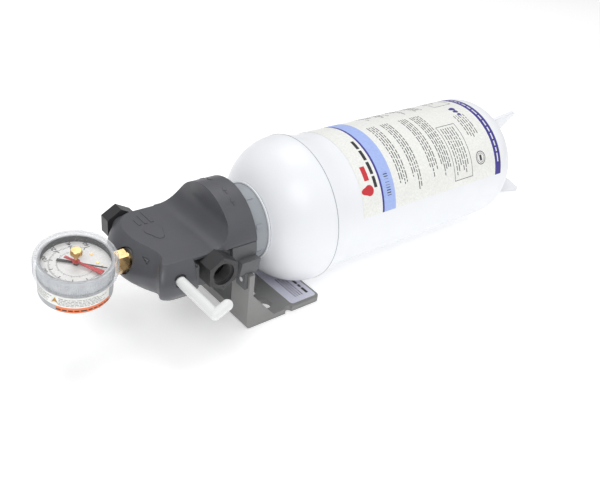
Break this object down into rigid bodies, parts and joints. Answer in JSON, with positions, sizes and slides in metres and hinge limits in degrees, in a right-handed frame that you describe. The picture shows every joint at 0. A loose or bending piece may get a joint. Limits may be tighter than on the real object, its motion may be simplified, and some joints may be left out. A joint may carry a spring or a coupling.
{
  "type": "valved water filter with pressure gauge",
  "caption": "Quick-change water filter: sealed cartridge in a valved head on a wall bracket, with shut-off lever, threaded ports and pressure gauge.",
  "frame": {"origin": "on the wall face of the bracket, midway along the row of mounting holes", "axes": "+X along the cartridge away from the head, -Y to the side with the lever, +Z away from the wall"},
  "size_m": [0.4679, 0.1537, 0.1281],
  "materials": {
    "bracket_plastic": "moulded, satin",
    "paper_label": "printed film",
    "screw_steel": "plated",
    "manifold_plastic": "moulded, satin",
    "port_plastic": "glass-filled, satin",
    "cover_plastic": "fine texture",
    "valve_plastic": "moulded",
    "lever_plastic": "moulded",
    "ring_rubber": "smooth",
    "collar_plastic": "satin",
    "shell_plastic": "moulded, soft gloss",
    "cartridge_film": "printed film",
    "carbon": "sintered block",
    "wrap_fabric": "spun-bonded",
    "case_plastic": "moulded",
    "clear_lens": "clear",
    "dial_paint": "matt white",
    "black_paint": "matt",
    "red_paint": "satin",
    "brass": "machined",
    "bronze": "drawn",
    "band_print": "printed film",
    "label_print": "printed film"
  },
  "bodies": {
    "head": {"wall_bracket": "bracket_plastic", "bracket_label": "paper_label", "bracket_screws": "screw_steel", "head_manifold": "manifold_plastic", "near_port_fitting": "port_plastic", "far_port_fitting": "port_plastic", "head_cover": "cover_plastic", "cover_screws": "screw_steel", "valve_gland": "port_plastic", "gauge_case": "case_plastic", "lens_gasket": "ring_rubber", "gauge_lens": "clear_lens", "dial_ring": "black_paint", "gauge_dial": "dial_paint", "dial_rivets": "brass", "stop_pin": "brass", "gauge_socket": "brass", "movement_plates": "brass", "plate_pillars": "brass", "hairspring": "bronze", "bourdon_tube": "bronze", "case_screws": "screw_steel", "gauge_label": "label_print", "gauge_band": "band_print"},
    "sleeve": {"shutoff_sleeve": "valve_plastic"},
    "cartridge": {"neck_collar": "collar_plastic", "cartridge_dome": "shell_plastic", "cartridge_shell": "shell_plastic", "outlet_stem": "shell_plastic", "stem_o_rings": "ring_rubber", "top_end_cap": "shell_plastic", "carbon_block": "carbon", "core_tube": "shell_plastic", "block_wrap": "wrap_fabric", "bottom_end_cap": "shell_plastic", "cartridge_label": "cartridge_film"},
    "valve": {"valve_plug": "valve_plastic", "plug_o_rings": "ring_rubber", "valve_lever": "lever_plastic"},
    "needle": {"pinion_shaft": "brass", "pressure_needle": "black_paint"},
    "sector": {"sector_gear": "brass"},
    "link": {"gauge_link": "brass"},
    "set_hand": {"set_pointer": "red_paint", "set_knob": "brass"}
  },
  "joints": [
    {"name": "cartridge_turn", "type": "hinge", "parent": "head", "child": "sleeve", "pos_m": [0, 0, 0.067], "axis": [1, 0, 0], "range_deg": [0, 90]},
    {"name": "cartridge_draw", "type": "slide", "parent": "sleeve", "child": "cartridge", "axis": [1, 0, 0], "range_m": [0, 0.00301]},
    {"name": "valve_turn", "type": "hinge", "parent": "head", "child": "valve", "pos_m": [-0.0875, 0, 0.067], "axis": [0, -1, 0], "range_deg": [0, 90]},
    {"name": "needle_turn", "type": "hinge", "parent": "head", "child": "needle", "pos_m": [-0.1426, 0, 0.064], "axis": [0, 0.1564, -0.9877], "range_deg": [0, 265]},
    {"name": "sector_turn", "type": "hinge", "parent": "head", "child": "sector", "pos_m": [-0.1531, 0, 0.064], "axis": [0, 0.1564, -0.9877], "range_deg": [-53.83, 0]},
    {"name": "link_turn", "type": "hinge", "parent": "sector", "child": "link", "pos_m": [-0.1591, 0, 0.064], "axis": [0, 0.1564, -0.9877], "range_deg": [0, 53.83]},
    {"name": "set_hand_turn", "type": "hinge", "parent": "head", "child": "set_hand", "pos_m": [-0.1426, 0, 0.064], "axis": [0, 0.1564, -0.9877], "range_deg": [0, 270]}
  ],
  "couplings": [
    {"joint": "cartridge_draw", "follows": "cartridge_turn", "m_per_rad": 0.0019099},
    {"joint": "sector_turn", "follows": "needle_turn", "ratio": -0.20238},
    {"joint": "link_turn", "follows": "needle_turn", "ratio": 0.20238}
  ]
}
